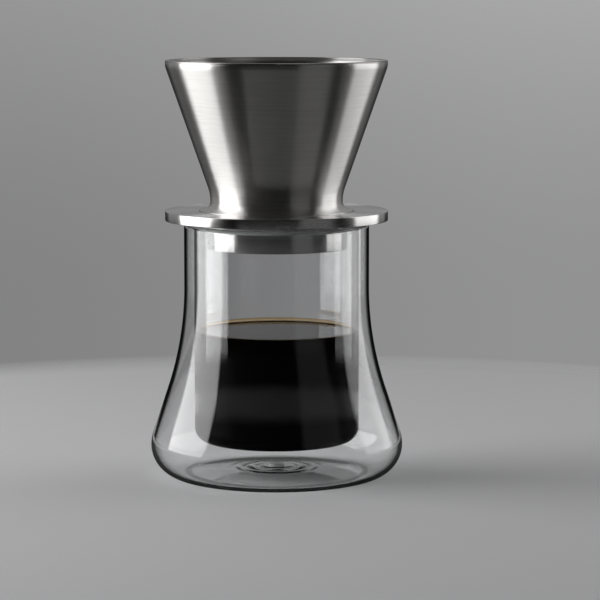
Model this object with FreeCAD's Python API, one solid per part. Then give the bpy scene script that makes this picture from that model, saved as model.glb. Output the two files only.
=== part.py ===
"""Pour-over coffee dripper standing on its double-wall glass server.

Millimetres, +Z up. The server stands on z = 0 with its axis on the Z axis. Every piece is a body
of revolution about that axis, apart from the ribs in the brewing cone.
"""
import FreeCAD, Part
import math
import os

# ---- server: outer wall ----
GLASS_WALL = 1.8
NECK_RADIUS = 49.4
FLARE_TOP_Z = 103.0
FLARE_END_Z = 48.0
FLARE_ANGLE = 18.5
BELLY_RADIUS = 67.5
BELLY_Z = 17.5
BASE_LAND_OUTER_RADIUS = 50.0
BASE_LAND_INNER_RADIUS = 46.0
PUNT_ANGLE = 8.0
PUNT_EDGE_RADIUS = 6.0
VENT_HOLE_RADIUS = 2.5
VENT_SEAL_OVERHANG = 1.6
VENT_SEAL_HEAD = 1.0
VENT_SEAL_LOWER_EDGE = 0.4
VENT_SEAL_UPPER_EDGE = 0.7
SERVER_RIM_Z = 137.2

# ---- server: inner wall ----
CUP_RADIUS = 44.0
CUP_BOTTOM_Z = 19.0
CUP_CORNER_RADIUS = 7.6

# ---- base ring: flange, collar and mouth gasket ----
FLANGE_RADIUS = 59.4
FLANGE_BOTTOM_Z = 138.0
FLANGE_TOP_Z = 143.2
FLANGE_EDGE_RADIUS = 0.6
RECESS_RADIUS = 41.4
RECESS_FLOOR_Z = 140.6
RECESS_EDGE_RADIUS = 0.25
COLLAR_RADIUS = 37.5
COLLAR_WALL = 1.6
COLLAR_BOTTOM_Z = 123.3
COLLAR_EDGE_RADIUS = 0.5
GASKET_LIP_RADIUS = 48.0
GASKET_PLUG_DEPTH = 3.8
GASKET_MOUTH_GAP = 0.4
GASKET_GROOVE = 0.9
GASKET_EDGE_RADIUS = 0.4
STRETCH_GAP = 0.05

# ---- cone: outer shell ----
SHEET = 0.9
RIM_RADIUS = 59.1
RIM_Z = 223.0
RIM_BEND_RADIUS = 8.0
SHELL_ANGLE = 19.35
SHELL_NECK_RADIUS = 35.3
SHELL_NECK_Z = 148.6
NECK_BEND_RADIUS = 20.0
FOOT_BEND_RADIUS = 4.8
FOOT_TOP_Z = 143.4
FOOT_RADIUS = 40.7

# ---- cone: brewing cone inside the shell ----
BREW_ANGLE = 30.0
BREW_BEND_RADIUS = 5.0
LIP_HEIGHT = 0.8
LIP_EDGE_RADIUS = 0.4
OUTLET_RADIUS = 8.5
RIB_RADIUS = 1.1
RIB_SINK = 0.3
LONG_RIBS = 12
LONG_RIB_REACH = (10.0, 76.0)
SHORT_RIB_REACH = (34.0, 76.0)

# ---- cone: spout, floor and seal ----
SPOUT_WALL = 1.1
SPOUT_BOTTOM_Z = 127.0
SPOUT_BEVEL = 0.5
FOOT_SEAL_THICKNESS = 1.0
FOOT_SEAL_GAP = 0.3
FOOT_SEAL_EDGE = 0.3
SPIGOT_CLEARANCE = 0.4
SPIGOT_BOTTOM_Z = 133.5
WELD_GAP = 0.1

ORIGIN = FreeCAD.Vector(0, 0, 0)
UP = FreeCAD.Vector(0, 0, 1)


def spot(place):
    """The point of the XZ plane at a (radius, height) pair."""
    return FreeCAD.Vector(place[0], 0, place[1])


def normal(facing):
    """Unit (radius, height) direction, facing degrees above the horizontal."""
    return math.cos(math.radians(facing)), math.sin(math.radians(facing))


def inset(station, depth):
    """A station (radius, height, facing) moved depth into the wall, as a (radius, height) pair."""
    across, up = normal(station[2])
    return station[0] - depth * across, station[1] - depth * up


def wall_edges(stations, depth):
    """Straight and tangent round edges along a wall's stations, depth below its outer face."""
    edges = []
    for first, second in zip(stations, stations[1:]):
        start = inset(first, depth)
        end = inset(second, depth)
        if first[2] == second[2]:
            edges.append(Part.LineSegment(spot(start), spot(end)).toShape())
            continue
        n_first = normal(first[2])
        n_second = normal(second[2])
        turn = (n_first[0] - n_second[0], n_first[1] - n_second[1])
        run = (start[0] - end[0], start[1] - end[1])
        radius = (run[0] * turn[0] + run[1] * turn[1]) / (turn[0] ** 2 + turn[1] ** 2)
        n_middle = normal((first[2] + second[2]) / 2)
        middle = (
            start[0] + radius * (n_middle[0] - n_first[0]),
            start[1] + radius * (n_middle[1] - n_first[1]),
        )
        edges.append(Part.Arc(spot(start), spot(middle), spot(end)).toShape())
    return edges


def revolved(edges):
    """Solid of revolution about the Z axis of the outline that the edges close."""
    outline = Part.Wire(Part.__sortEdges__(edges))
    return Part.Face(outline).revolve(ORIGIN, UP, 360)


def bent_wall(stations, thickness):
    """Wall of even thickness whose outer face follows the stations."""
    edges = wall_edges(stations, 0) + wall_edges(stations, thickness)
    for end in (stations[0], stations[-1]):
        edges.append(Part.LineSegment(spot(inset(end, 0)), spot(inset(end, thickness))).toShape())
    return revolved(edges)


def turned(corners, roundings=None):
    """Turned ring with the given (radius, height) corners, some of them rounded.

    roundings maps a corner's index to the radius that rounds it.
    """
    roundings = roundings or {}
    count = len(corners)
    ends = []
    edges = []
    for index, corner in enumerate(corners):
        here = spot(corner)
        radius = roundings.get(index, 0)
        if not radius:
            ends.append((here, here))
            continue
        back = spot(corners[index - 1]) - here
        ahead = spot(corners[(index + 1) % count]) - here
        half_turn = back.getAngle(ahead) / 2
        back.normalize()
        ahead.normalize()
        reach = radius / math.tan(half_turn)
        inward = (back + ahead).normalize()
        middle = here + inward * (radius / math.sin(half_turn) - radius)
        start = here + back * reach
        end = here + ahead * reach
        edges.append(Part.Arc(start, middle, end).toShape())
        ends.append((start, end))
    for index in range(count):
        edges.append(Part.LineSegment(ends[index - 1][1], ends[index][0]).toShape())
    return revolved(edges)


def rim_curl():
    """Middle radius and centre height of the rounded rim that joins the glass walls."""
    bore = CUP_RADIUS - GLASS_WALL
    curl = (NECK_RADIUS - bore) / 2
    return bore + curl, SERVER_RIM_Z - curl


def server_outer_wall():
    """Bell-shaped outer wall, from the fused rim down to the vent hole in the hollow base."""
    middle, curl_z = rim_curl()
    slope = math.radians(FLARE_ANGLE)
    flare_end = NECK_RADIUS + (FLARE_TOP_Z - FLARE_END_Z) * math.tan(slope / 2)
    # the straight flank ends where one more tangent arc reaches the belly
    drop = BELLY_RADIUS - flare_end - math.tan(slope / 2) * (FLARE_END_Z - BELLY_Z)
    flank = drop / (math.tan(slope) - math.tan(slope / 2))
    punt = math.radians(PUNT_ANGLE)
    punt_start = BASE_LAND_INNER_RADIUS - PUNT_EDGE_RADIUS * math.sin(punt)
    punt_start_z = PUNT_EDGE_RADIUS * (1 - math.cos(punt))
    dome_radius = punt_start / math.sin(punt)
    vent_angle = math.asin(VENT_HOLE_RADIUS / dome_radius)
    dome_z = punt_start_z + dome_radius * (math.cos(vent_angle) - math.cos(punt))
    stations = [
        (middle, SERVER_RIM_Z, 90),
        (NECK_RADIUS, curl_z, 0),
        (NECK_RADIUS, FLARE_TOP_Z, 0),
        (flare_end, FLARE_END_Z, FLARE_ANGLE),
        (flare_end + flank * math.tan(slope), FLARE_END_Z - flank, FLARE_ANGLE),
        (BELLY_RADIUS, BELLY_Z, 0),
        (BASE_LAND_OUTER_RADIUS, 0, -90),
        (BASE_LAND_INNER_RADIUS, 0, -90),
        (punt_start, punt_start_z, -90 - PUNT_ANGLE),
        (VENT_HOLE_RADIUS, dome_z, -90 - math.degrees(vent_angle)),
    ]
    return bent_wall(stations, GLASS_WALL)


def server_inner_wall():
    """Straight inner cup that holds the coffee, fused to the outer wall at the rim."""
    middle, curl_z = rim_curl()
    stations = [
        (middle, SERVER_RIM_Z - GLASS_WALL, -90),
        (CUP_RADIUS, curl_z, 0),
        (CUP_RADIUS, CUP_BOTTOM_Z + CUP_CORNER_RADIUS, 0),
        (CUP_RADIUS - CUP_CORNER_RADIUS, CUP_BOTTOM_Z, -90),
        (0, CUP_BOTTOM_Z, -90),
    ]
    return bent_wall(stations, GLASS_WALL)


def server_vent_seal():
    """Button that closes the vent hole in the middle of the hollow base."""
    punt = math.radians(PUNT_ANGLE)
    dome_radius = BASE_LAND_INNER_RADIUS / math.sin(punt) - PUNT_EDGE_RADIUS
    hole_z = PUNT_EDGE_RADIUS + dome_radius - (dome_radius + PUNT_EDGE_RADIUS) * math.cos(punt)
    stem = VENT_HOLE_RADIUS - STRETCH_GAP
    head = VENT_HOLE_RADIUS + VENT_SEAL_OVERHANG
    top = hole_z + GLASS_WALL + STRETCH_GAP
    bottom = hole_z - STRETCH_GAP
    return turned(
        [
            (0, bottom - VENT_SEAL_HEAD),
            (head, bottom - VENT_SEAL_HEAD),
            (head, bottom),
            (stem, bottom),
            (stem, top),
            (head, top),
            (head, top + VENT_SEAL_HEAD),
            (0, top + VENT_SEAL_HEAD),
        ],
        {1: VENT_SEAL_LOWER_EDGE, 6: VENT_SEAL_UPPER_EDGE},
    )


def rest_flange():
    """Flat round plate that rests on the server's rim, with the recess for the cone's foot."""
    bore = COLLAR_RADIUS - COLLAR_WALL
    return turned(
        [
            (bore, FLANGE_BOTTOM_Z),
            (FLANGE_RADIUS, FLANGE_BOTTOM_Z),
            (FLANGE_RADIUS, FLANGE_TOP_Z),
            (RECESS_RADIUS, FLANGE_TOP_Z),
            (RECESS_RADIUS, RECESS_FLOOR_Z),
            (bore, RECESS_FLOOR_Z),
        ],
        {1: FLANGE_EDGE_RADIUS, 2: FLANGE_EDGE_RADIUS, 3: RECESS_EDGE_RADIUS},
    )


def locating_collar():
    """Round collar under the flange that hangs inside the server's mouth."""
    bore = COLLAR_RADIUS - COLLAR_WALL
    return turned(
        [
            (bore, COLLAR_BOTTOM_Z),
            (COLLAR_RADIUS, COLLAR_BOTTOM_Z),
            (COLLAR_RADIUS, FLANGE_BOTTOM_Z),
            (bore, FLANGE_BOTTOM_Z),
        ],
        {0: COLLAR_EDGE_RADIUS, 1: COLLAR_EDGE_RADIUS},
    )


def mouth_gasket():
    """Soft ring around the collar: its lip lies on the glass rim, its grooved plug fills the mouth."""
    bore = COLLAR_RADIUS + STRETCH_GAP
    plug = CUP_RADIUS - GLASS_WALL - GASKET_MOUTH_GAP
    bottom = SERVER_RIM_Z - GASKET_PLUG_DEPTH
    fin = GASKET_PLUG_DEPTH / 4
    groove = plug - GASKET_GROOVE
    return turned(
        [
            (bore, bottom),
            (plug, bottom),
            (plug, bottom + fin),
            (groove, bottom + 1.5 * fin),
            (groove, bottom + 2.5 * fin),
            (plug, bottom + 3 * fin),
            (plug, SERVER_RIM_Z),
            (GASKET_LIP_RADIUS, SERVER_RIM_Z),
            (GASKET_LIP_RADIUS, FLANGE_BOTTOM_Z),
            (bore, FLANGE_BOTTOM_Z),
        ],
        {1: GASKET_EDGE_RADIUS},
    )


def foot_seal():
    """Flat soft ring that lies in the flange's recess, under the cone's foot."""
    bore = COLLAR_RADIUS - COLLAR_WALL + FOOT_SEAL_GAP
    edge = RECESS_RADIUS - FOOT_SEAL_GAP
    top = RECESS_FLOOR_Z + FOOT_SEAL_THICKNESS
    return turned(
        [(bore, RECESS_FLOOR_Z), (edge, RECESS_FLOOR_Z), (edge, top), (bore, top)],
        {2: FOOT_SEAL_EDGE},
    )


def rim_band_z():
    """Height where the outer shell's rim bend ends and its upright band starts."""
    slope = math.radians(SHELL_ANGLE)
    bends = (RIM_BEND_RADIUS + NECK_BEND_RADIUS) * (1 - math.cos(slope))
    flank_height = (RIM_RADIUS - SHELL_NECK_RADIUS - bends) / math.tan(slope)
    return SHELL_NECK_Z + (RIM_BEND_RADIUS + NECK_BEND_RADIUS) * math.sin(slope) + flank_height


def outer_shell():
    """Brushed outer cone, from the upright rim band to the turned-out foot."""
    slope = math.radians(SHELL_ANGLE)
    shrink = 1 - math.cos(slope)
    band_z = rim_band_z()
    foot_start = SHELL_NECK_RADIUS + FOOT_BEND_RADIUS
    stations = [
        (RIM_RADIUS, RIM_Z - LIP_HEIGHT, 0),
        (RIM_RADIUS, band_z, 0),
        (RIM_RADIUS - RIM_BEND_RADIUS * shrink, band_z - RIM_BEND_RADIUS * math.sin(slope), -SHELL_ANGLE),
        (
            SHELL_NECK_RADIUS + NECK_BEND_RADIUS * shrink,
            SHELL_NECK_Z + NECK_BEND_RADIUS * math.sin(slope),
            -SHELL_ANGLE,
        ),
        (SHELL_NECK_RADIUS, SHELL_NECK_Z, 0),
        (SHELL_NECK_RADIUS, FOOT_TOP_Z + FOOT_BEND_RADIUS, 0),
        (foot_start, FOOT_TOP_Z, 90),
        (FOOT_RADIUS, FOOT_TOP_Z, 90),
    ]
    return bent_wall(stations, SHEET)


def brew_stations():
    """Stations of the brewing cone's outer face, from the rim to the outlet."""
    slope = math.radians(BREW_ANGLE)
    band = RIM_RADIUS - SHEET
    band_z = rim_band_z()
    bend_end = band - BREW_BEND_RADIUS * (1 - math.cos(slope))
    bend_end_z = band_z - BREW_BEND_RADIUS * math.sin(slope)
    outlet = OUTLET_RADIUS + SHEET * math.cos(slope)
    outlet_z = bend_end_z - (bend_end - outlet) / math.tan(slope)
    return [
        (band, RIM_Z - LIP_HEIGHT, 0),
        (band, band_z, 0),
        (bend_end, bend_end_z, -BREW_ANGLE),
        (outlet, outlet_z, -BREW_ANGLE),
    ]


def rib(reach):
    """Half-sunk round rib up the brewing wall, between two heights above the outlet."""
    outlet = inset(brew_stations()[-1], SHEET + RIB_SINK)
    slope = math.radians(BREW_ANGLE)
    along = FreeCAD.Vector(math.sin(slope), 0, math.cos(slope))
    start = spot(outlet) + along * (reach[0] / math.cos(slope))
    length = (reach[1] - reach[0]) / math.cos(slope)
    rod = Part.makeCylinder(RIB_RADIUS, length, start, along)
    ends = [Part.makeSphere(RIB_RADIUS, place) for place in (start, start + along * length)]
    return rod.multiFuse(ends).removeSplitter()


def inner_cone():
    """Brewing cone that holds the filter, with its ribs and the lip over the shell's edge."""
    stations = brew_stations()
    inside = inset(stations[0], SHEET)
    edge_z = RIM_Z - LIP_HEIGHT
    lip = turned(
        [(inside[0], edge_z), (RIM_RADIUS, edge_z), (RIM_RADIUS, RIM_Z), (inside[0], RIM_Z)],
        {2: LIP_EDGE_RADIUS, 3: LIP_EDGE_RADIUS},
    )
    ribs = []
    for index in range(2 * LONG_RIBS):
        shape = rib(SHORT_RIB_REACH if index % 2 else LONG_RIB_REACH)
        shape.rotate(ORIGIN, UP, 180 * index / LONG_RIBS)
        ribs.append(shape)
    return bent_wall(stations, SHEET).multiFuse([lip] + ribs).removeSplitter()


def outlet_spout():
    """Short tube welded under the brewing cone's open tip, with a bevelled drip edge."""
    tip = brew_stations()[-1]
    cut = inset(tip, SHEET)
    outside = OUTLET_RADIUS + SPOUT_WALL
    return turned(
        [
            (OUTLET_RADIUS, SPOUT_BOTTOM_Z),
            (outside - SPOUT_BEVEL, SPOUT_BOTTOM_Z),
            (outside, SPOUT_BOTTOM_Z + SPOUT_BEVEL),
            (outside, tip[1]),
            (tip[0], tip[1]),
            cut,
        ]
    )


def spigot_floor():
    """Pressed floor that closes the chamber at the foot, with the spigot that enters the collar."""
    tip = brew_stations()[-1]
    bottom = RECESS_FLOOR_Z + FOOT_SEAL_THICKNESS
    top = FOOT_TOP_Z - SHEET
    hole = tip[0] + (top - tip[1]) * math.tan(math.radians(BREW_ANGLE)) + WELD_GAP
    spigot = COLLAR_RADIUS - COLLAR_WALL - SPIGOT_CLEARANCE
    return turned(
        [
            (hole, bottom),
            (spigot - SHEET, bottom),
            (spigot - SHEET, SPIGOT_BOTTOM_Z),
            (spigot, SPIGOT_BOTTOM_Z),
            (spigot, bottom),
            (FOOT_RADIUS - FOOT_SEAL_GAP, bottom),
            (FOOT_RADIUS - FOOT_SEAL_GAP, top),
            (hole, top),
        ]
    )


PIECES = {
    "server_outer_wall": server_outer_wall,
    "server_inner_wall": server_inner_wall,
    "server_vent_seal": server_vent_seal,
    "rest_flange": rest_flange,
    "locating_collar": locating_collar,
    "mouth_gasket": mouth_gasket,
    "foot_seal": foot_seal,
    "outer_shell": outer_shell,
    "inner_cone": inner_cone,
    "outlet_spout": outlet_spout,
    "spigot_floor": spigot_floor,
}

os.makedirs("parts", exist_ok=True)
for name, make in PIECES.items():
    piece = make()
    if not piece.isValid() or len(piece.Solids) != 1:
        raise RuntimeError(f"{name} isn't one valid solid")
    piece.exportStep(f"parts/{name}.step")
    print(name, round(piece.Volume), "mm3", piece.BoundBox)
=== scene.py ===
"""Looks of a pour-over dripper on its double-wall glass server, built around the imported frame.

Units are metres. Every round piece is an outline in the XZ plane, spun about the Z axis.
"""
import logging
import math
from dataclasses import dataclass
from enum import Enum

import bpy
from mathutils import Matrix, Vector


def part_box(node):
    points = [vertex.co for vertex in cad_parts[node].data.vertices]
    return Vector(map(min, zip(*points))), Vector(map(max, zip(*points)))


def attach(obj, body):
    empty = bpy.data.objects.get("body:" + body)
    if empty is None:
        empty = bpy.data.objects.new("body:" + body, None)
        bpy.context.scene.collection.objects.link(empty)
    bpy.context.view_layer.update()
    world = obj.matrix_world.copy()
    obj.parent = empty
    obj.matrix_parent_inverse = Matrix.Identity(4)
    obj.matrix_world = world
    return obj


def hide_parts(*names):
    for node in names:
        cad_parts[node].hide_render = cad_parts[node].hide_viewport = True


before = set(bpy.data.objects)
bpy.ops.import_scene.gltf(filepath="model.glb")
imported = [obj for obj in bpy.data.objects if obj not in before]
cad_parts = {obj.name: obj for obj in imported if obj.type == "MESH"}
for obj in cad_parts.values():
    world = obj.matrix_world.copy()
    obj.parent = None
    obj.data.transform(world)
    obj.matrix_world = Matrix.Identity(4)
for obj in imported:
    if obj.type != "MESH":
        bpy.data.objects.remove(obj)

logging.basicConfig(level=logging.INFO, format="%(levelname)s %(message)s")
LOG = logging.getLogger("dripper")

Point = tuple[float, float]
Colour = tuple[float, float, float, float]

MM = 0.001
WELD = 1e-6
ARC_STEP = 5.0
ARC_CHORD = 1.6 * MM
FACES_UP = 0.9
BOUNCED = 0.5


class Body(Enum):
    """Bodies of the frame that the pieces ride on."""

    SERVER = "server"
    BASE_RING = "base_ring"
    FOOT_SEAL = "foot_seal_ring"
    CONE = "cone"


class Slot(Enum):
    """Material slots of the record."""

    GLASS = "clear_glass"
    CLEAR_SILICONE = "clear_silicone"
    FLANGE_STEEL = "brushed_flange_steel"
    DARK_SILICONE = "dark_silicone"
    CONE_STEEL = "brushed_cone_steel"
    INNER_STEEL = "satin_inner_steel"


# ---------------------------------------------------------------- outlines


@dataclass(frozen=True)
class Station:
    """A place on a wall's outer face, with the direction that the face looks in.

    facing is in degrees above the horizontal, so 0 looks outwards and 90 looks up.
    """

    radius: float
    height: float
    facing: float

    def normal(self) -> Vector:
        """The face's (radius, height) direction."""
        return Vector((math.cos(math.radians(self.facing)), math.sin(math.radians(self.facing))))

    def inset(self, depth: float) -> Vector:
        """The (radius, height) point that lies depth inside the wall."""
        return Vector((self.radius, self.height)) - depth * self.normal()


def wall_line(stations: list[Station], depth: float) -> list[Point]:
    """Follows a wall's stations with straight lines and tangent arcs.

    Args:
        stations: places along the outer face, where a change of facing means an arc.
        depth: how far inside the outer face the line runs.

    Returns:
        The line's (radius, height) points, ends included.
    """
    line = [tuple(stations[0].inset(depth))]
    for first, second in zip(stations, stations[1:]):
        start = first.inset(depth)
        end = second.inset(depth)
        turn = first.normal() - second.normal()
        if turn.length > WELD:
            radius = (start - end).dot(turn) / turn.length_squared
            centre = start - radius * first.normal()
            sweep = abs(second.facing - first.facing)
            length = abs(radius) * math.radians(sweep)
            steps = max(2, math.ceil(sweep / ARC_STEP), math.ceil(length / ARC_CHORD))
            for step in range(1, steps):
                facing = first.facing + (second.facing - first.facing) * step / steps
                line.append(tuple(centre + radius * Station(0, 0, facing).normal()))
        line.append(tuple(end))
    return line


def wall_outline(stations: list[Station], thickness: float) -> list[Point]:
    """Closed outline of a wall of even thickness.

    Args:
        stations: places along the outer face.
        thickness: the wall's thickness.

    Returns:
        The outline's (radius, height) points, once round.
    """
    return wall_line(stations, 0) + wall_line(stations, thickness)[::-1]


# ---------------------------------------------------------------- modelling


class Lathe:
    """Makes round pieces by drawing an outline in edit mode and spinning it."""

    def __init__(self, steps: int = 160) -> None:
        """Takes the number of steps in one full turn."""
        self.steps = steps

    def spin(self, name: str, outline: list[Point], closed: bool = True) -> bpy.types.Object:
        """Spins an outline once round the Z axis.

        Args:
            name: the new object's name.
            outline: (radius, height) points.
            closed: whether the outline's last point joins its first.

        Returns:
            The new mesh object, at the origin.
        """
        bpy.ops.object.select_all(action="DESELECT")
        bpy.ops.mesh.primitive_plane_add(size=MM, location=(0, 0, 0))
        piece = bpy.context.active_object
        piece.name = name
        piece.data.name = name
        bpy.ops.object.mode_set(mode="EDIT")
        bpy.ops.mesh.select_all(action="SELECT")
        bpy.ops.mesh.merge(type="CENTER")
        spots = [Vector((max(radius, 0.0), 0, height)) for radius, height in outline]
        bpy.ops.transform.translate(value=spots[0])
        for before, after in zip(spots, spots[1:]):
            bpy.ops.mesh.extrude_region_move(TRANSFORM_OT_translate={"value": after - before})
        if closed:
            bpy.ops.mesh.extrude_region_move(TRANSFORM_OT_translate={"value": spots[0] - spots[-1]})
        bpy.ops.mesh.select_all(action="SELECT")
        bpy.ops.mesh.remove_doubles(threshold=WELD)
        bpy.ops.mesh.spin(
            steps=self.steps, angle=2 * math.pi, center=(0, 0, 0), axis=(0, 0, 1), dupli=False
        )
        bpy.ops.mesh.select_all(action="SELECT")
        bpy.ops.mesh.remove_doubles(threshold=WELD)
        bpy.ops.mesh.normals_make_consistent(inside=False)
        bpy.ops.object.mode_set(mode="OBJECT")
        return piece


def choose(piece: bpy.types.Object) -> None:
    """Makes a piece the active one, and the only one selected.

    Args:
        piece: the piece.
    """
    bpy.ops.object.select_all(action="DESELECT")
    bpy.context.view_layer.objects.active = piece
    piece.select_set(True)


def apply_all(piece: bpy.types.Object) -> None:
    """Applies every modifier of a piece, in order.

    Args:
        piece: the piece to finish.
    """
    choose(piece)
    for modifier in list(piece.modifiers):
        bpy.ops.object.modifier_apply(modifier=modifier.name)


def soften(piece: bpy.types.Object, width: float, segments: int = 3, angle: float = 35.0) -> None:
    """Rounds a piece's sharp edges and shades it smooth.

    Args:
        piece: the piece to finish.
        width: the rounding's width.
        segments: faces across the rounding.
        angle: edges sharper than this, in degrees, are rounded.
    """
    if width:
        bevel = piece.modifiers.new("rounded edges", "BEVEL")
        bevel.width = width
        bevel.segments = segments
        bevel.limit_method = "ANGLE"
        bevel.angle_limit = math.radians(angle)
        apply_all(piece)
    choose(piece)
    bpy.ops.object.shade_smooth_by_angle(angle=math.radians(angle))


def hand_over(piece: bpy.types.Object, body: Body, slot: Slot | None, *nodes: str) -> None:
    """Puts a finished piece on its body, in the place of its CAD nodes.

    Args:
        piece: the finished piece.
        body: the body that it rides on.
        slot: the record's slot that it takes its finish from, if any; not used.
        nodes: the CAD nodes that it stands for.
    """
    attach(piece, body.value)
    if nodes:
        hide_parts(*nodes)
    LOG.info("%s rides on %s, %d faces", piece.name, body.value, len(piece.data.polygons))


# ---------------------------------------------------------------- shader groups


class NodeNet:
    """A few short calls for wiring a node tree."""

    def __init__(self, tree: bpy.types.NodeTree) -> None:
        """Takes the tree to wire."""
        self.tree = tree

    def add(self, kind: str, **settings: object) -> bpy.types.Node:
        """Adds a node and sets its properties.

        Args:
            kind: the node's type.
            **settings: its properties, by name.

        Returns:
            The node.
        """
        node = self.tree.nodes.new(kind)
        for key, value in settings.items():
            setattr(node, key, value)
        return node

    def wire(self, source: bpy.types.NodeSocket, target: bpy.types.NodeSocket) -> None:
        """Links an output to an input."""
        self.tree.links.new(source, target)

    def maths(self, kind: str, first: object, second: object = 0.0) -> bpy.types.NodeSocket:
        """Adds a Math node.

        Args:
            kind: the operation.
            first: a socket or a number.
            second: a socket or a number.

        Returns:
            The node's output.
        """
        node = self.add("ShaderNodeMath", operation=kind)
        for socket, value in zip(node.inputs, (first, second)):
            if isinstance(value, bpy.types.NodeSocket):
                self.wire(value, socket)
            else:
                socket.default_value = value
        return node.outputs[0]

    def span(self, value: bpy.types.NodeSocket, low: float, high: float) -> bpy.types.NodeSocket:
        """Maps a 0 to 1 value on to low to high.

        Args:
            value: the value's socket.
            low: the result at 0.
            high: the result at 1.

        Returns:
            The mapped value.
        """
        node = self.add("ShaderNodeMapRange")
        self.wire(value, node.inputs["Value"])
        node.inputs["To Min"].default_value = low
        node.inputs["To Max"].default_value = high
        return node.outputs["Result"]

    def ease(self, value: bpy.types.NodeSocket, start: float, end: float) -> bpy.types.NodeSocket:
        """Rises softly from 0 at start to 1 at end.

        Args:
            value: the value's socket.
            start: where the rise starts, on either side of end.
            end: where it is complete.

        Returns:
            The eased value.
        """
        ramp = self.add("ShaderNodeMapRange", interpolation_type="SMOOTHSTEP")
        ramp.inputs["From Min"].default_value = min(start, end)
        ramp.inputs["From Max"].default_value = max(start, end)
        ramp.inputs["To Min"].default_value = 0.0 if start < end else 1.0
        ramp.inputs["To Max"].default_value = 1.0 if start < end else 0.0
        self.wire(value, ramp.inputs["Value"])
        return ramp.outputs["Result"]

    def blend(self, factor: bpy.types.NodeSocket, first: Colour, second: Colour) -> bpy.types.NodeSocket:
        """Mixes two colours.

        Args:
            factor: the socket that picks between them.
            first: the colour at 0.
            second: the colour at 1.

        Returns:
            The mixed colour.
        """
        node = self.add("ShaderNodeMix", data_type="RGBA")
        node.inputs["A"].default_value = first
        node.inputs["B"].default_value = second
        self.wire(factor, node.inputs["Factor"])
        return node.outputs["Result"]

    def bump(self, height: bpy.types.NodeSocket, strength: float, depth: float) -> bpy.types.NodeSocket:
        """Turns a height into a normal.

        Args:
            height: the height's socket.
            strength: how much of the effect shows.
            depth: the height's full depth.

        Returns:
            The normal.
        """
        node = self.add("ShaderNodeBump")
        node.inputs["Strength"].default_value = strength
        node.inputs["Distance"].default_value = depth
        self.wire(height, node.inputs["Height"])
        return node.outputs["Normal"]

    def noise(self, place: bpy.types.NodeSocket, scale: float) -> bpy.types.NodeSocket:
        """Adds a plain noise texture.

        Args:
            place: the place's socket.
            scale: the noise's scale.

        Returns:
            The noise's value.
        """
        node = self.add("ShaderNodeTexNoise")
        node.inputs["Scale"].default_value = scale
        self.wire(place, node.inputs["Vector"])
        return node.outputs["Fac"]

    def split(self, place: bpy.types.NodeSocket) -> bpy.types.bpy_prop_collection:
        """Splits a vector.

        Args:
            place: the vector's socket.

        Returns:
            The outputs, named X, Y and Z.
        """
        node = self.add("ShaderNodeSeparateXYZ")
        self.wire(place, node.inputs[0])
        return node.outputs

    def flatten(self, parts: bpy.types.bpy_prop_collection) -> bpy.types.NodeSocket:
        """Joins the X and Y of a split vector, with Z at 0.

        Args:
            parts: the split vector's outputs.

        Returns:
            The flat vector.
        """
        node = self.add("ShaderNodeCombineXYZ")
        for axis in ("X", "Y"):
            self.wire(parts[axis], node.inputs[axis])
        return node.outputs[0]

    def length(self, vector: bpy.types.NodeSocket) -> bpy.types.NodeSocket:
        """Measures a vector.

        Args:
            vector: the vector's socket.

        Returns:
            Its length.
        """
        node = self.add("ShaderNodeVectorMath", operation="LENGTH")
        self.wire(vector, node.inputs[0])
        return node.outputs["Value"]


def group_sockets(
    tree: bpy.types.NodeTree, inputs: dict[str, str], outputs: dict[str, str]
) -> tuple[bpy.types.Node, bpy.types.Node]:
    """Gives a node group its sockets.

    Args:
        tree: the group.
        inputs: socket type by name.
        outputs: socket type by name.

    Returns:
        The group's input node and output node.
    """
    for name, kind in inputs.items():
        tree.interface.new_socket(name=name, in_out="INPUT", socket_type=kind)
    for name, kind in outputs.items():
        tree.interface.new_socket(name=name, in_out="OUTPUT", socket_type=kind)
    return tree.nodes.new("NodeGroupInput"), tree.nodes.new("NodeGroupOutput")


GRAIN_SLANT = 0.77
GRAIN_SIZES = (("Fine", 1.0), ("Broad", 0.12))
GRAIN_DETAIL = 3.0
GRAIN_ROUGHNESS = 0.6
SMUDGE_DETAIL = 2.0
SMUDGE_DISTORTION = 0.4
SMUDGE_EDGES = (0.38, 0.68)


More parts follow.
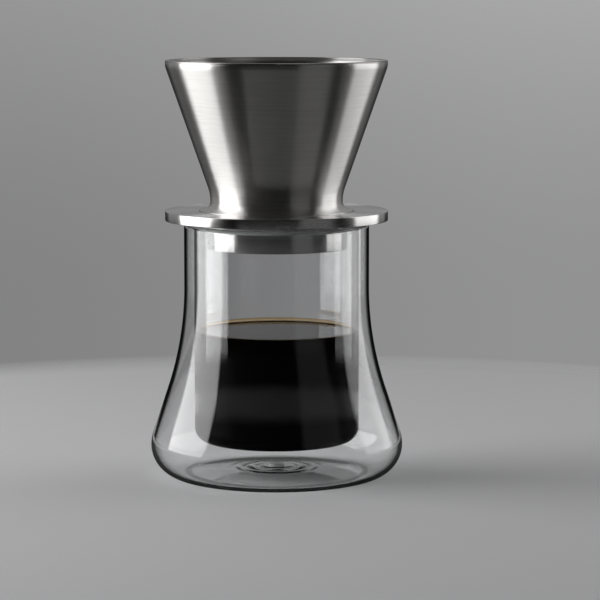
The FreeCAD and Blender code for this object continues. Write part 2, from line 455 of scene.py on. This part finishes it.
def turned_grain_group() -> bpy.types.NodeTree:
    """Fine lines that run round the Z axis, as a polishing wheel leaves them on turned metal.

    Returns:
        The group, with the lines' masks at two sizes.
    """
    tree = bpy.data.node_groups.new("turned_grain", "ShaderNodeTree")
    inside, outside = group_sockets(
        tree,
        {"Place": "NodeSocketVector", "Lines per Metre": "NodeSocketFloat", "Around": "NodeSocketFloat"},
        {"Fine": "NodeSocketFloat", "Broad": "NodeSocketFloat"},
    )
    net = NodeNet(tree)
    parts = net.split(inside.outputs["Place"])
    flat = net.flatten(parts)
    turn = net.add("ShaderNodeVectorMath", operation="NORMALIZE")
    net.wire(flat, turn.inputs[0])
    around = net.add("ShaderNodeVectorMath", operation="SCALE")
    net.wire(turn.outputs["Vector"], around.inputs[0])
    net.wire(inside.outputs["Around"], around.inputs["Scale"])
    along = net.maths("ADD", parts["Z"], net.maths("MULTIPLY", net.length(flat), GRAIN_SLANT))
    lines = net.maths("MULTIPLY", along, inside.outputs["Lines per Metre"])
    spread = net.split(around.outputs["Vector"])
    for name, share in GRAIN_SIZES:
        place = net.add("ShaderNodeCombineXYZ")
        net.wire(spread["X"], place.inputs["X"])
        net.wire(spread["Y"], place.inputs["Y"])
        net.wire(net.maths("MULTIPLY", lines, share), place.inputs["Z"])
        noise = net.add("ShaderNodeTexNoise")
        noise.inputs["Scale"].default_value = 1.0
        noise.inputs["Detail"].default_value = GRAIN_DETAIL
        noise.inputs["Roughness"].default_value = GRAIN_ROUGHNESS
        net.wire(place.outputs[0], noise.inputs["Vector"])
        net.wire(noise.outputs["Fac"], outside.inputs[name])
    return tree


def smudge_group() -> bpy.types.NodeTree:
    """Soft patches, such as handling leaves on a polished surface.

    Returns:
        The group, with one mask.
    """
    tree = bpy.data.node_groups.new("soft_smudges", "ShaderNodeTree")
    inside, outside = group_sockets(
        tree,
        {"Place": "NodeSocketVector", "Scale": "NodeSocketFloat"},
        {"Mask": "NodeSocketFloat"},
    )
    net = NodeNet(tree)
    noise = net.add("ShaderNodeTexNoise")
    noise.inputs["Detail"].default_value = SMUDGE_DETAIL
    noise.inputs["Distortion"].default_value = SMUDGE_DISTORTION
    net.wire(inside.outputs["Place"], noise.inputs["Vector"])
    net.wire(inside.outputs["Scale"], noise.inputs["Scale"])
    net.wire(net.ease(noise.outputs["Fac"], *SMUDGE_EDGES), outside.inputs["Mask"])
    return tree


@dataclass
class Effects:
    """The shader groups that the finishes share."""

    turned_grain: bpy.types.NodeTree
    smudges: bpy.types.NodeTree

    def smudge_mask(self, net: NodeNet, place: bpy.types.NodeSocket, scale: float) -> bpy.types.NodeSocket:
        """Places the smudges in a material.

        Args:
            net: the material's wiring helper.
            place: the place's socket.
            scale: the smudges' scale.

        Returns:
            The smudges' mask.
        """
        node = net.add("ShaderNodeGroup", node_tree=self.smudges)
        net.wire(place, node.inputs["Place"])
        node.inputs["Scale"].default_value = scale
        return node.outputs["Mask"]


# ---------------------------------------------------------------- finishes


def fresh_material(name: str) -> tuple[bpy.types.Material, NodeNet, bpy.types.Node]:
    """Starts a node material.

    Args:
        name: the material's name.

    Returns:
        The material, its wiring helper and its Principled shader.
    """
    material = bpy.data.materials.new(name)
    material.use_nodes = True
    return material, NodeNet(material.node_tree), material.node_tree.nodes["Principled BSDF"]


@dataclass(frozen=True)
class BrushedSteel:
    """Stainless steel with a finish that runs round the Z axis."""

    name: str
    colour: Colour
    roughness: tuple[float, float]
    lines_per_metre: float
    depth: float
    anisotropy: float = 1.0
    groove_tone: float = 0.9
    groove_edges: tuple[float, float] = (0.30, 0.62)
    groove_strength: float = 0.35
    waver: float = 1.6
    smudge_scale: float = 24.0
    streak_share: float = 0.7
    grain_turn: float = 0.25

    def make(self, effects: Effects) -> bpy.types.Material:
        """Builds the material.

        Args:
            effects: the shared shader groups.

        Returns:
            The material.
        """
        material, net, steel = fresh_material(self.name)
        place = net.add("ShaderNodeTexCoord").outputs["Object"]
        grain = net.add("ShaderNodeGroup", node_tree=effects.turned_grain)
        net.wire(place, grain.inputs["Place"])
        grain.inputs["Lines per Metre"].default_value = self.lines_per_metre
        grain.inputs["Around"].default_value = self.waver
        smudges = effects.smudge_mask(net, place, self.smudge_scale)
        dark = tuple(channel * self.groove_tone for channel in self.colour[:3]) + (1.0,)
        scratches = net.ease(grain.outputs["Fine"], *self.groove_edges)
        net.wire(net.blend(scratches, dark, self.colour), steel.inputs["Base Color"])
        streaks = net.maths("MULTIPLY", grain.outputs["Broad"], self.streak_share)
        patches = net.maths("MULTIPLY", smudges, 1 - self.streak_share)
        uneven = net.maths("ADD", streaks, patches)
        net.wire(net.span(uneven, *self.roughness), steel.inputs["Roughness"])
        normal = net.bump(grain.outputs["Fine"], self.groove_strength, self.depth)
        net.wire(normal, steel.inputs["Normal"])
        tangent = net.add("ShaderNodeTangent", direction_type="RADIAL", axis="Z")
        net.wire(tangent.outputs["Tangent"], steel.inputs["Tangent"])
        steel.inputs["Metallic"].default_value = 1.0
        steel.inputs["Anisotropic"].default_value = self.anisotropy
        steel.inputs["Anisotropic Rotation"].default_value = self.grain_turn
        return material


@dataclass(frozen=True)
class ClearGlass:
    """Blown borosilicate glass, a little uneven, that lets lamplight through."""

    name: str = "blown glass"
    tint: Colour = (0.994, 0.996, 0.998, 1.0)
    shadow_tint: Colour = (0.93, 0.94, 0.935, 1.0)
    ior: float = 1.47
    wave_scale: float = 14.0
    wave_strength: float = 0.5
    wave_depth: float = 0.00004

    def make(self, effects: Effects) -> bpy.types.Material:
        """Builds the material.

        Args:
            effects: the shared shader groups.

        Returns:
            The material.
        """
        material, net, glass = fresh_material(self.name)
        glass.inputs["Base Color"].default_value = self.tint
        glass.inputs["Roughness"].default_value = 0.0
        glass.inputs["IOR"].default_value = self.ior
        glass.inputs["Transmission Weight"].default_value = 1.0
        place = net.add("ShaderNodeTexCoord").outputs["Object"]
        waves = effects.smudge_mask(net, place, self.wave_scale)
        net.wire(net.bump(waves, self.wave_strength, self.wave_depth), glass.inputs["Normal"])
        path = net.add("ShaderNodeLightPath")
        clear = net.add("ShaderNodeBsdfTransparent")
        clear.inputs["Color"].default_value = self.shadow_tint
        mix = net.add("ShaderNodeMixShader")
        net.wire(path.outputs["Is Shadow Ray"], mix.inputs["Fac"])
        net.wire(glass.outputs["BSDF"], mix.inputs[1])
        net.wire(clear.outputs["BSDF"], mix.inputs[2])
        net.wire(mix.outputs["Shader"], material.node_tree.nodes["Material Output"].inputs["Surface"])
        return material


@dataclass(frozen=True)
class Silicone:
    """Moulded silicone rubber with a faint bloom of dust."""

    name: str
    colour: Colour
    roughness: tuple[float, float] = (0.45, 0.62)
    clearness: float = 0.0
    ior: float = 1.41
    dust_scale: float = 130.0
    dust_gain: float = 1.35
    dust_lift: float = 0.008
    grain_scale: float = 2600.0
    grain_strength: float = 0.25
    grain_depth: float = 0.00005

    def make(self, effects: Effects) -> bpy.types.Material:
        """Builds the material.

        Args:
            effects: the shared shader groups.

        Returns:
            The material.
        """
        material, net, rubber = fresh_material(self.name)
        place = net.add("ShaderNodeTexCoord").outputs["Object"]
        dust = effects.smudge_mask(net, place, self.dust_scale)
        dusty = [min(1.0, channel * self.dust_gain + self.dust_lift) for channel in self.colour[:3]]
        net.wire(net.blend(dust, self.colour, (*dusty, 1.0)), rubber.inputs["Base Color"])
        net.wire(net.span(dust, *self.roughness), rubber.inputs["Roughness"])
        grain = net.noise(place, self.grain_scale)
        net.wire(net.bump(grain, self.grain_strength, self.grain_depth), rubber.inputs["Normal"])
        rubber.inputs["Transmission Weight"].default_value = self.clearness
        rubber.inputs["IOR"].default_value = self.ior
        return material


@dataclass(frozen=True)
class BlackCoffee:
    """Brewed coffee, black in depth, with a still and glossy surface."""

    name: str = "black coffee"
    depth_colour: Colour = (0.0016, 0.0011, 0.0009, 1.0)
    edge_colour: Colour = (0.02, 0.011, 0.007, 1.0)
    edge_width: float = 1.2 * MM
    edge_depth: float = 1.0 * MM
    surface_roughness: float = 0.02
    side_roughness: float = 0.3
    ior: float = 1.34

    def make(self, radius: float, level: float) -> bpy.types.Material:
        """Builds the material.

        Args:
            radius: the coffee's radius at its surface.
            level: the height of its surface.

        Returns:
            The material, browner in a thin ring at the surface's edge.
        """
        material, net, coffee = fresh_material(self.name)
        parts = net.split(net.add("ShaderNodeTexCoord").outputs["Object"])
        rim = net.ease(net.length(net.flatten(parts)), radius - self.edge_width, radius)
        top = net.ease(parts["Z"], level - self.edge_depth, level)
        edge = net.maths("MULTIPLY", rim, top)
        net.wire(net.blend(edge, self.depth_colour, self.edge_colour), coffee.inputs["Base Color"])
        coffee.inputs["Roughness"].default_value = self.surface_roughness
        coffee.inputs["IOR"].default_value = self.ior
        return material

    def make_side(self) -> bpy.types.Material:
        """Builds the finish of the coffee that lies against the glass, which mirrors nothing there.

        Returns:
            The material.
        """
        material, _, coffee = fresh_material(f"{self.name} against glass")
        coffee.inputs["Base Color"].default_value = self.depth_colour
        coffee.inputs["Roughness"].default_value = self.side_roughness
        coffee.inputs["Specular IOR Level"].default_value = 0.0
        return material


@dataclass(frozen=True)
class AmberFilm:
    """The thin ring of coffee that climbs the glass, clear and amber against the light."""

    name: str = "amber coffee film"
    colour: Colour = (0.86, 0.65, 0.38, 1.0)
    roughness: float = 0.12
    ior: float = 1.2
    wave_scale: float = 160.0
    wave_strength: float = 0.3
    wave_depth: float = 0.0002

    def make(self) -> bpy.types.Material:
        """Builds the material.

        Returns:
            The material.
        """
        material, net, film = fresh_material(self.name)
        film.inputs["Base Color"].default_value = self.colour
        film.inputs["Roughness"].default_value = self.roughness
        film.inputs["IOR"].default_value = self.ior
        film.inputs["Transmission Weight"].default_value = 1.0
        waves = net.noise(net.add("ShaderNodeTexCoord").outputs["Object"], self.wave_scale)
        net.wire(net.bump(waves, self.wave_strength, self.wave_depth), film.inputs["Normal"])
        return material


# ---------------------------------------------------------------- the object


def reach(node: str) -> float:
    """A round CAD node's largest radius."""
    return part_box(node)[1].x


def top_of(node: str) -> float:
    """A CAD node's highest point."""
    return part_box(node)[1].z


def bottom_of(node: str) -> float:
    """A CAD node's lowest point."""
    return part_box(node)[0].z


@dataclass
class Server:
    """Double-wall glass server with the coffee in it."""

    wall: float = 1.8 * MM
    neck_radius: float = 49.4 * MM
    flare_top: float = 103 * MM
    flare_end: float = 48 * MM
    flare_angle: float = 18.5
    belly_height: float = 17.5 * MM
    land: tuple[float, float] = (46 * MM, 50 * MM)
    punt_angle: float = 8.0
    punt_edge: float = 6 * MM
    cup_radius: float = 44 * MM
    cup_corner: float = 7.6 * MM
    vent_radius: float = 2.5 * MM
    ripple_reach: tuple[float, float] = (5 * MM, 25 * MM)
    ripple_height: float = 0.35 * MM
    ripples: int = 3
    coffee_level: float = 78.6 * MM
    film_height: float = 1.9 * MM
    film_dip: float = 0.3
    film_width: float = 1.2 * MM
    film_steps: int = 6
    wetting: float = 0.05 * MM
    coffee_crease: float = 50.0

    def rim(self) -> tuple[float, float]:
        """Places the rounded rim.

        Returns:
            The rim's middle radius and the height of its rounding's centre.
        """
        bore = self.cup_radius - self.wall
        curl = (self.neck_radius - bore) / 2
        return bore + curl, top_of("server_outer_wall") - curl

    def outer_stations(self) -> list[Station]:
        """Follows the outer face of the bell.

        Returns:
            The stations, from the rim to the vent hole.
        """
        middle, curl_height = self.rim()
        slope = math.radians(self.flare_angle)
        belly = reach("server_outer_wall")
        flare_end = self.neck_radius + (self.flare_top - self.flare_end) * math.tan(slope / 2)
        drop = belly - flare_end - math.tan(slope / 2) * (self.flare_end - self.belly_height)
        flank = drop / (math.tan(slope) - math.tan(slope / 2))
        punt = math.radians(self.punt_angle)
        punt_start = self.land[0] - self.punt_edge * math.sin(punt)
        punt_height = self.punt_edge * (1 - math.cos(punt))
        dome = punt_start / math.sin(punt)
        vent = math.asin(self.vent_radius / dome)
        return [
            Station(middle, top_of("server_outer_wall"), 90),
            Station(self.neck_radius, curl_height, 0),
            Station(self.neck_radius, self.flare_top, 0),
            Station(flare_end, self.flare_end, self.flare_angle),
            Station(flare_end + flank * math.tan(slope), self.flare_end - flank, self.flare_angle),
            Station(belly, self.belly_height, 0),
            Station(self.land[1], 0, -90),
            Station(self.land[0], 0, -90),
            Station(punt_start, punt_height, -90 - self.punt_angle),
            Station(
                self.vent_radius,
                punt_height + dome * (math.cos(vent) - math.cos(punt)),
                -90 - math.degrees(vent),
            ),
        ]

    def bell_outline(self) -> list[Point]:
        """Draws the bell, with the faint rings that closing the glass leaves in its base.

        Returns:
            The closed outline.
        """
        stations = self.outer_stations()
        inner, outer = self.ripple_reach
        line = []
        for radius, height in wall_line(stations, self.wall):
            share = (radius - inner) / (outer - inner)
            if height < self.belly_height and 0 < share < 1:
                wave = math.sin(2 * math.pi * self.ripples * share) * math.sin(math.pi * share)
                height += self.ripple_height * wave
            line.append((radius, height))
        return wall_line(stations, 0) + line[::-1]

    def cup_stations(self) -> list[Station]:
        """Follows the outer face of the inner cup.

        Returns:
            The stations, from the rim to the axis.
        """
        middle, curl_height = self.rim()
        floor = bottom_of("server_inner_wall")
        return [
            Station(middle, top_of("server_inner_wall") - self.wall, -90),
            Station(self.cup_radius, curl_height, 0),
            Station(self.cup_radius, floor + self.cup_corner, 0),
            Station(self.cup_radius - self.cup_corner, floor, -90),
            Station(0, floor, -90),
        ]

    def build(self, lathe: Lathe, effects: Effects, clear_rubber: bpy.types.Material) -> None:
        """Builds the glass and the coffee, and dresses the vent seal.

        Args:
            lathe: the tool for round pieces.
            effects: the shared shader groups.
            clear_rubber: the vent seal's finish.
        """
        glass = ClearGlass().make(effects)
        bell = lathe.spin("server_outer_glass", self.bell_outline())
        soften(bell, 0.0)
        bell.data.materials.append(glass)
        hand_over(bell, Body.SERVER, Slot.GLASS, "server_outer_wall")
        cup = lathe.spin("server_inner_glass", wall_outline(self.cup_stations(), self.wall))
        soften(cup, 0.0)
        cup.data.materials.append(glass)
        hand_over(cup, Body.SERVER, Slot.GLASS, "server_inner_wall")
        dress(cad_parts["server_vent_seal"], clear_rubber)
        self.build_coffee(lathe)

    def build_coffee(self, lathe: Lathe) -> None:
        """Builds the coffee and the amber film at its edge.

        Args:
            lathe: the tool for round pieces.
        """
        cup = self.cup_stations()
        inside = wall_line(cup[2:], self.wall - self.wetting)
        radius = inside[0][0]
        body = [(0.0, self.coffee_level), (radius, self.coffee_level)] + inside
        coffee = lathe.spin("brewed_coffee", body[:-1] + [(0.0, inside[-1][1])], closed=False)
        soften(coffee, 0.0, angle=self.coffee_crease)
        coffee.data.materials.append(BlackCoffee().make(radius, self.coffee_level))
        coffee.data.materials.append(BlackCoffee().make_side())
        for face in coffee.data.polygons:
            face.material_index = 0 if face.normal.z > FACES_UP else 1
        hand_over(coffee, Body.SERVER, None)
        turns = [math.pi / 2 * step / self.film_steps for step in range(self.film_steps + 1)]
        climb = [
            (
                radius - self.film_width * (1 - math.sin(turn)),
                self.coffee_level + self.film_height * (1 - math.cos(turn)),
            )
            for turn in turns
        ]
        film = lathe.spin("coffee_film", climb + [(radius, self.coffee_level - self.wetting)])
        self.tilt_film(film, radius)
        soften(film, 0.0, angle=self.coffee_crease)
        film.data.materials.append(AmberFilm().make())
        hand_over(film, Body.SERVER, None)

    def tilt_film(self, film: bpy.types.Object, radius: float) -> None:
        """Lowers the film's top on one side, as pouring leaves it.

        Args:
            film: the film, of even height.
            radius: the cup's inner radius.
        """
        for vertex in film.data.vertices:
            climb = vertex.co.z - self.coffee_level
            if climb > 0:
                share = (1 + vertex.co.y / radius) / 2
                vertex.co.z = self.coffee_level + climb * (self.film_dip + (1 - self.film_dip) * share)


def dress(piece: bpy.types.Object, material: bpy.types.Material) -> None:
    """Puts one material on every slot of a CAD node.

    Args:
        piece: the CAD node's object.
        material: the finish.
    """
    for slot in piece.material_slots:
        slot.material = material
    LOG.info("%s keeps its shape and wears %s", piece.name, material.name)


@dataclass
class BaseRing:
    """Flange, collar and mouth gasket that rest on the server."""

    recess_radius: float = 41.4 * MM
    flange_edge: float = 0.36 * MM
    collar_wall: float = 1.6 * MM
    collar_edge: float = 0.4 * MM

    def build(
        self,
        lathe: Lathe,
        steel: bpy.types.Material,
        clear_rubber: bpy.types.Material,
        dark_rubber: bpy.types.Material,
    ) -> None:
        """Builds the ring's pieces.

        Args:
            lathe: the tool for round pieces.
            steel: the flange's and collar's finish.
            clear_rubber: the mouth gasket's finish.
            dark_rubber: the foot seal's finish.
        """
        collar_radius = reach("locating_collar")
        bore = collar_radius - self.collar_wall
        bottom, top = bottom_of("rest_flange"), top_of("rest_flange")
        recess_floor = bottom_of("foot_seal")
        flange = lathe.spin(
            "flange_plate",
            [
                (bore, bottom),
                (reach("rest_flange"), bottom),
                (reach("rest_flange"), top),
                (self.recess_radius, top),
                (self.recess_radius, recess_floor),
                (bore, recess_floor),
            ],
        )
        soften(flange, self.flange_edge)
        flange.data.materials.append(steel)
        hand_over(flange, Body.BASE_RING, Slot.FLANGE_STEEL, "rest_flange")
        collar = lathe.spin(
            "mouth_collar",
            [
                (bore, bottom_of("locating_collar")),
                (collar_radius, bottom_of("locating_collar")),
                (collar_radius, top_of("locating_collar")),
                (bore, top_of("locating_collar")),
            ],
        )
        soften(collar, self.collar_edge)
        collar.data.materials.append(steel)
        hand_over(collar, Body.BASE_RING, Slot.FLANGE_STEEL, "locating_collar")
        dress(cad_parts["mouth_gasket"], clear_rubber)
        dress(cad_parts["foot_seal"], dark_rubber)


@dataclass
class Cone:
    """Double-skinned brewing cone."""

    sheet: float = 0.9 * MM
    rim_bend: float = 8 * MM
    angle: float = 19.35
    neck_radius: float = 35.3 * MM
    neck_height: float = 148.6 * MM
    neck_bend: float = 20 * MM
    foot_bend: float = 4.8 * MM
    foot_lip: float = 0.6 * MM
    edge: float = 0.3 * MM

    def shell_stations(self) -> list[Station]:
        """Follows the outer face of the shell.

        Returns:
            The stations, from the rim band to the foot.
        """
        slope = math.radians(self.angle)
        shrink = 1 - math.cos(slope)
        rim = reach("outer_shell")
        flank = (rim - self.neck_radius - (self.rim_bend + self.neck_bend) * shrink) / math.tan(slope)
        band = self.neck_height + (self.rim_bend + self.neck_bend) * math.sin(slope) + flank
        foot = top_of("spigot_floor") + self.sheet
        return [
            Station(rim, top_of("outer_shell"), 0),
            Station(rim, band, 0),
            Station(rim - self.rim_bend * shrink, band - self.rim_bend * math.sin(slope), -self.angle),
            Station(
                self.neck_radius + self.neck_bend * shrink,
                self.neck_height + self.neck_bend * math.sin(slope),
                -self.angle,
            ),
            Station(self.neck_radius, self.neck_height, 0),
            Station(self.neck_radius, foot + self.foot_bend, 0),
            Station(self.neck_radius + self.foot_bend, foot, 90),
            Station(self.neck_radius + self.foot_bend + self.foot_lip, foot, 90),
        ]

    def build(self, lathe: Lathe, shell_steel: bpy.types.Material, inner_steel: bpy.types.Material) -> None:
        """Builds the shell and dresses the pieces inside it.

        Args:
            lathe: the tool for round pieces.
            shell_steel: the outer shell's finish.
            inner_steel: the brewing cone's finish, darker than the shell's steel as painted shade.
        """
        shell = lathe.spin("cone_shell", wall_outline(self.shell_stations(), self.sheet))
        soften(shell, self.edge)
        shell.data.materials.append(shell_steel)
        hand_over(shell, Body.CONE, Slot.CONE_STEEL, "outer_shell")
        for node in ("inner_cone", "outlet_spout", "spigot_floor"):
            dress(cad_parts[node], inner_steel)


# ---------------------------------------------------------------- studio


@dataclass(frozen=True)
class Softbox:
    """A rectangular studio light that looks at the object and stays out of the camera's sight."""

    name: str
    place: tuple[float, float, float]
    size: tuple[float, float]
    power: float
    target: tuple[float, float, float] = (0.0, 0.0, 0.15)

    def hang(self) -> None:
        """Adds the light."""
        lamp = bpy.data.lights.new(self.name, "AREA")
        lamp.shape = "RECTANGLE"
        lamp.size, lamp.size_y = self.size
        lamp.energy = self.power
        holder = bpy.data.objects.new(self.name, lamp)
        bpy.context.scene.collection.objects.link(holder)
        holder.location = self.place
        aim = Vector(self.target) - Vector(self.place)
        holder.rotation_euler = aim.to_track_quat("-Z", "Y").to_euler()
        holder.visible_camera = False


@dataclass(frozen=True)
class Flag:
    """A black card that only reflections see, which gives a highlight its dark border."""

    name: str
    bearing: float
    width: float
    distance: float = 0.24
    height: float = 0.36

    def stand(self, black: bpy.types.Material) -> None:
        """Adds the card, upright and facing the object.

        Args:
            black: the card's finish.
        """
        turn = math.radians(self.bearing)
        bpy.ops.object.select_all(action="DESELECT")
        bpy.ops.mesh.primitive_plane_add(
            size=1,
            location=(self.distance * math.sin(turn), -self.distance * math.cos(turn), self.height / 2),
            rotation=(math.pi / 2, 0, turn),
        )
        card = bpy.context.active_object
        card.name = self.name
        card.scale = (self.width, self.height, 1)
        bpy.ops.object.transform_apply(location=True, rotation=True, scale=True)
        card.data.materials.append(black)
        card.visible_camera = False
        card.visible_diffuse = False
        card.visible_transmission = False
        card.visible_shadow = False


@dataclass
class Studio:
    """Pale floor, grey wall light, softboxes and the camera.

    A pair of numbers is where a change starts and where it is complete, or the values at both ends.
    Pairs for the room are parts of a unit direction, with Y ahead of the camera and Z up.
    """

    floor_radius: float = 0.48
    floor_fade: float = 0.08
    floor_sides: int = 128
    floor_tone: Colour = (0.74, 0.74, 0.75, 1.0)
    floor_roughness: float = 0.75
    # Painted reflection: in reflections the floor shows these tones, dark with a bright ring between these
    # radii.
    painted_ring_rise: tuple[float, float] = (0.20, 0.25)
    painted_ring_fall: tuple[float, float] = (0.34, 0.29)
    painted_reflection_tone: tuple[float, float] = (0.006, 0.70)
    card_tone: Colour = (0.004, 0.004, 0.004, 1.0)
    card_roughness: float = 0.9
    wall_ahead: tuple[float, float] = (0.30, 0.50)
    wall_gap: tuple[float, float] = (0.90, 0.80)
    wall_foot: tuple[float, float] = (-0.18, -0.12)
    wall_top: tuple[float, float] = (0.0, 0.05)
    wall_light: tuple[float, float] = (0.005, 0.27)
    fill_behind: tuple[float, float] = (0.0, -0.2)
    fill_inner: tuple[float, float] = (0.35, 0.45)
    fill_outer: tuple[float, float] = (0.88, 0.82)
    fill_light: float = 0.09
    backdrop_reach: tuple[float, float] = (-0.12, 0.12)
    backdrop_light: tuple[float, float] = (0.235, 0.415)
    backdrop_sides: tuple[float, float] = (0.96, 1.22)
    room_tint: Colour = (1.0, 1.0, 1.01, 1.0)
    camera_distance: float = 1.45
    camera_height: float = 0.266
    pitch: float = 6.73
    pan: float = 0.494
    focal_length: float = 163.6
    sensor_width: float = 36.0
    clip_start: float = 0.05

    def build(self) -> None:
        """Sets up the stage, the lights and the camera."""
        self.lay_floor()
        self.paint_world()
        Softbox("left softbox", place=(-0.97, 0.04, 0.42), size=(0.88, 1.2), power=10.0).hang()
        Softbox("right softbox", place=(0.98, 0.29, 0.40), size=(0.80, 1.2), power=3.9).hang()
        Softbox("top softbox", place=(0.0, 0.25, 1.5), size=(1.1, 0.9), power=1.5).hang()
        self.stand_flags()
        bpy.context.scene.view_settings.view_transform = "Standard"
        self.place_camera()

    def lay_floor(self) -> None:
        """Lays a round matt floor whose edge fades away; in reflections it wears a painted reflection, dark
        with a bright ring.
        """
        bpy.ops.object.select_all(action="DESELECT")
        bpy.ops.mesh.primitive_circle_add(
            vertices=self.floor_sides, radius=self.floor_radius, fill_type="TRIFAN", location=(0, 0, 0)
        )
        floor = bpy.context.active_object
        floor.name = "studio_floor"
        material, net, paint = fresh_material("matt floor")
        paint.inputs["Roughness"].default_value = self.floor_roughness
        out = net.length(net.add("ShaderNodeTexCoord").outputs["Object"])
        path = net.add("ShaderNodeLightPath")
        # Painted reflection: rays that have bounced off a glossy surface see a dark floor with a bright
        # ring, not the floor's own tone.
        mirrored = net.maths("GREATER_THAN", path.outputs["Glossy Depth"], BOUNCED)
        ring = net.maths("MULTIPLY", net.ease(out, *self.painted_ring_rise), net.ease(out, *self.painted_ring_fall))
        tone = net.add("ShaderNodeMix", data_type="RGBA")
        net.wire(mirrored, tone.inputs["Factor"])
        tone.inputs["A"].default_value = self.floor_tone
        net.wire(net.span(ring, *self.painted_reflection_tone), tone.inputs["B"])
        net.wire(tone.outputs["Result"], paint.inputs["Base Color"])
        fade = net.ease(out, self.floor_radius, self.floor_radius - self.floor_fade)
        net.wire(fade, paint.inputs["Alpha"])
        floor.data.materials.append(material)

    def stand_flags(self) -> None:
        """Stands a black card in front of each softbox's near edge."""
        black, _, paint = fresh_material("black card")
        paint.inputs["Base Color"].default_value = self.card_tone
        paint.inputs["Roughness"].default_value = self.card_roughness
        paint.inputs["Specular IOR Level"].default_value = 0.0
        Flag("left flag", bearing=-47.0, width=0.085).stand(black)
        Flag("right flag", bearing=70.0, width=0.07).stand(black)

    def paint_world(self) -> None:
        """Gives the room a lit wall behind the object and darkness elsewhere."""
        world = bpy.data.worlds.new("studio room")
        bpy.context.scene.world = world
        world.use_nodes = True
        net = NodeNet(world.node_tree)
        back = world.node_tree.nodes["Background"]
        facing = net.split(net.add("ShaderNodeTexCoord").outputs["Generated"])
        band = net.maths(
            "MAXIMUM", net.ease(facing["Y"], *self.wall_gap), net.ease(facing["Z"], *self.wall_top)
        )
        lit = net.maths("MULTIPLY", band, net.ease(facing["Z"], *self.wall_foot))
        lit = net.maths("MULTIPLY", lit, net.ease(facing["Y"], *self.wall_ahead))
        panel = net.maths(
            "MULTIPLY", net.ease(facing["X"], *self.fill_inner), net.ease(facing["X"], *self.fill_outer)
        )
        fill = net.maths("MULTIPLY", net.ease(facing["Y"], *self.fill_behind), panel)
        fill = net.maths("MULTIPLY", fill, self.fill_light)
        room = net.maths("ADD", net.span(lit, *self.wall_light), fill)
        upwards = net.span(net.ease(facing["Z"], *self.backdrop_reach), *self.backdrop_light)
        sideways = net.span(net.ease(facing["X"], *self.backdrop_reach), *self.backdrop_sides)
        path = net.add("ShaderNodeLightPath")
        bounces = net.maths("ADD", path.outputs["Glossy Depth"], path.outputs["Diffuse Depth"])
        pick = net.add("ShaderNodeMix", data_type="FLOAT")
        net.wire(net.maths("GREATER_THAN", bounces, BOUNCED), pick.inputs["Factor"])
        net.wire(net.maths("MULTIPLY", upwards, sideways), pick.inputs["A"])
        net.wire(room, pick.inputs["B"])
        net.wire(pick.outputs["Result"], back.inputs["Strength"])
        back.inputs["Color"].default_value = self.room_tint

    def place_camera(self) -> None:
        """Adds the camera and makes it the scene's."""
        lens = bpy.data.cameras.new("camera")
        lens.lens = self.focal_length
        lens.sensor_width = self.sensor_width
        lens.clip_start = self.clip_start
        camera = bpy.data.objects.new("camera", lens)
        bpy.context.scene.collection.objects.link(camera)
        camera.location = (0.0, -self.camera_distance, self.camera_height)
        camera.rotation_euler = (math.radians(90 - self.pitch), 0.0, -math.radians(self.pan))
        bpy.context.scene.camera = camera


def main() -> None:
    """Builds every piece in order."""
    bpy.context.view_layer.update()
    effects = Effects(turned_grain=turned_grain_group(), smudges=smudge_group())
    shell_steel = BrushedSteel(
        "brushed shell steel",
        colour=(0.78, 0.768, 0.75, 1.0),
        roughness=(0.29, 0.37),
        lines_per_metre=1700.0,
        depth=0.00002,
    ).make(effects)
    flange_steel = BrushedSteel(
        "brushed flange steel",
        colour=(0.76, 0.75, 0.74, 1.0),
        roughness=(0.22, 0.30),
        lines_per_metre=1700.0,
        depth=0.000015,
    ).make(effects)
    # Painted shade: this steel's colour, well below the shell steel's, darkens the inside of the cone.
    inner_steel = BrushedSteel(
        "satin inner steel",
        colour=(0.46, 0.452, 0.444, 1.0),
        roughness=(0.24, 0.36),
        lines_per_metre=2200.0,
        depth=0.00002,
        anisotropy=0.6,
    ).make(effects)
    dark_rubber = Silicone("dark silicone", colour=(0.012, 0.012, 0.012, 1.0)).make(effects)
    clear_rubber = Silicone(
        "clear silicone", colour=(0.86, 0.87, 0.87, 1.0), roughness=(0.28, 0.40), clearness=0.15
    ).make(effects)
    lathe = Lathe()
    Server().build(lathe, effects, clear_rubber)
    BaseRing().build(lathe, flange_steel, clear_rubber, dark_rubber)
    Cone().build(lathe, shell_steel, inner_steel)
    Studio().build()


if __name__ == "__main__":
    main()
